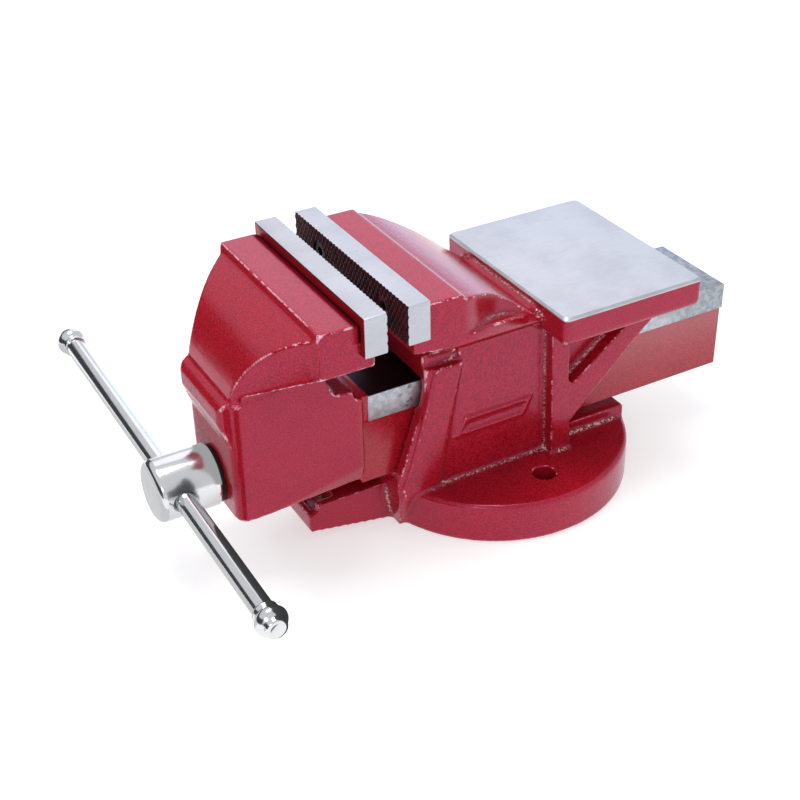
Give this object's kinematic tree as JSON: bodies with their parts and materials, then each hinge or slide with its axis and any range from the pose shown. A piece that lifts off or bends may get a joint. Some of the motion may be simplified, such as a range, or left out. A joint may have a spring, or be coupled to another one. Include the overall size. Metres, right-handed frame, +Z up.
{
  "type": "bench vise",
  "caption": "Fixed-base bench vise with a screw-driven sliding jaw, knurled steel jaw plates and an anvil behind the jaws.",
  "frame": {"origin": "centre of the round base on its underside, midway between the two bench bolt holes", "axes": "+Z up out of the bench, +X from the jaws towards the anvil, along the slide; -Y is the near side"},
  "size_m": [0.2811, 0.238, 0.1278],
  "materials": {
    "crimson_paint": "glossy hammered enamel over cast iron, ground bare on the anvil and slide guides",
    "plate_steel": "ground, knurled gripping face",
    "blackened_steel": "black oxide",
    "bright_chrome": "bright plated",
    "zinc_steel": "zinc plated",
    "nut_iron": "as cast, greased"
  },
  "bodies": {
    "base": {"fixed_body": "crimson_paint", "fixed_jaw_plate": "plate_steel", "fixed_jaw_screw_near": "blackened_steel", "fixed_jaw_screw_far": "blackened_steel", "main_nut": "nut_iron", "nut_bolt": "zinc_steel", "nut_washer": "zinc_steel", "nut_pin": "zinc_steel"},
    "sliding_jaw": {"moving_jaw": "crimson_paint", "moving_jaw_plate": "plate_steel", "moving_jaw_screw_near": "blackened_steel", "moving_jaw_screw_far": "blackened_steel"},
    "spindle": {"lead_screw": "bright_chrome", "spindle_washer": "zinc_steel", "disc_springs": "zinc_steel", "pin_washer": "zinc_steel", "split_pin": "zinc_steel"},
    "handle": {"handle_bar": "bright_chrome", "handle_knob_far": "bright_chrome", "handle_knob_near": "bright_chrome"}
  },
  "joints": [
    {"name": "jaw_slide", "type": "slide", "parent": "base", "child": "sliding_jaw", "axis": [1, 0, 0], "range_m": [-0.09, 0.0088]},
    {"name": "spindle_turn", "type": "hinge", "parent": "sliding_jaw", "child": "spindle", "pos_m": [-0.138, 0, 0.044], "axis": [1, 0, 0], "range_deg": [-8096, 788]},
    {"name": "handle_slide", "type": "slide", "parent": "spindle", "child": "handle", "axis": [0, 0.9998, 0.0209], "range_m": [-0.111, 0.0745]}
  ],
  "couplings": [
    {"joint": "jaw_slide", "follows": "spindle_turn", "m_per_rad": 0.00063662}
  ]
}
